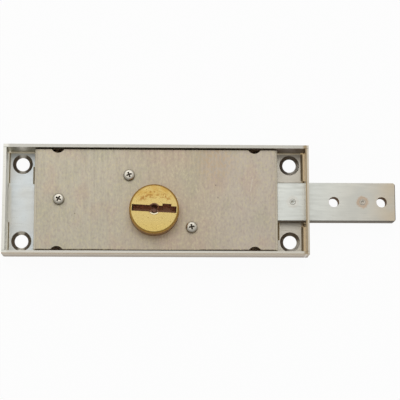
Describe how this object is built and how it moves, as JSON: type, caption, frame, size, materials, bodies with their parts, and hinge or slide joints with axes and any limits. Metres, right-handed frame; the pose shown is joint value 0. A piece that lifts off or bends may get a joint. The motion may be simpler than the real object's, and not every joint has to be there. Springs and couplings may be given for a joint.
{
  "type": "roller shutter lock",
  "caption": "Flat side lock for a roller shutter: folded steel case, inset cover, round brass key rotor and a flat bar bolt with rod holes thrown from one end.",
  "frame": {"origin": "centre of the four fixing holes, on the back face of the case", "axes": "+X is the way the bolt is thrown, +Y runs across the case to the side away from the rotor, +Z points out of the case's open side"},
  "size_m": [0.2, 0.056, 0.0213],
  "materials": {
    "case_steel": "zinc-plated folded sheet",
    "cover_steel": "matt rolled sheet with a warm plating",
    "bolt_steel": "bright zinc-plated bar",
    "rotor_brass": "turned face, tarnished at the upper edge",
    "bush_brass": "turned",
    "hardened_steel": "hardened, ground",
    "screw_steel": "bright zinc plating",
    "post_steel": "turned, riveted over",
    "tumbler_steel": "stamped and tumbled",
    "spring_steel": "drawn spring steel",
    "housing_casting": "bare zinc-alloy casting"
  },
  "bodies": {
    "case": {"case_tray": "case_steel", "cover_plate": "cover_steel", "cover_screw_left": "screw_steel", "cover_screw_upper": "screw_steel", "cover_screw_lower": "screw_steel", "left_post": "post_steel", "upper_guide_post": "post_steel", "lower_guide_post": "post_steel", "centre_pin": "hardened_steel", "tail_bush": "bush_brass", "tumbler_housing": "housing_casting", "tumbler_spring_1": "spring_steel", "tumbler_spring_2": "spring_steel", "tumbler_spring_3": "spring_steel", "bolt_spring": "spring_steel", "spring_pins": "post_steel"},
    "rotor": {"rotor": "rotor_brass", "drive_pinion": "hardened_steel"},
    "bolt": {"bolt_bar": "bolt_steel"},
    "tumbler_1": {"tumbler_plate_1": "tumbler_steel"},
    "tumbler_2": {"tumbler_plate_2": "tumbler_steel"},
    "tumbler_3": {"tumbler_plate_3": "tumbler_steel"}
  },
  "joints": [
    {"name": "rotor_turn", "type": "hinge", "parent": "case", "child": "rotor", "pos_m": [-0.001, -0.006, 0.0128], "axis": [0, 0, 1], "range_deg": [-360, 0]},
    {"name": "bolt_slide", "type": "slide", "parent": "case", "child": "bolt", "axis": [1, 0, 0], "range_m": [0, 0.02513], "deforming": ["bolt_spring"]},
    {"name": "tumbler_1_slide", "type": "slide", "parent": "case", "child": "tumbler_1", "axis": [1, 0, 0], "range_m": [-0.0011, 0.0011], "stiffness_N_per_m": 40, "springref_m": 0.0016, "deforming": ["tumbler_spring_1"]},
    {"name": "tumbler_2_slide", "type": "slide", "parent": "case", "child": "tumbler_2", "axis": [1, 0, 0], "range_m": [-0.0011, 0.0011], "stiffness_N_per_m": 40, "springref_m": 0.0016, "deforming": ["tumbler_spring_2"]},
    {"name": "tumbler_3_slide", "type": "slide", "parent": "case", "child": "tumbler_3", "axis": [1, 0, 0], "range_m": [-0.0011, 0.0011], "stiffness_N_per_m": 40, "springref_m": 0.0016, "deforming": ["tumbler_spring_3"]}
  ],
  "couplings": [
    {"joint": "rotor_turn", "follows": "bolt_slide", "rad_per_m": -250}
  ]
}
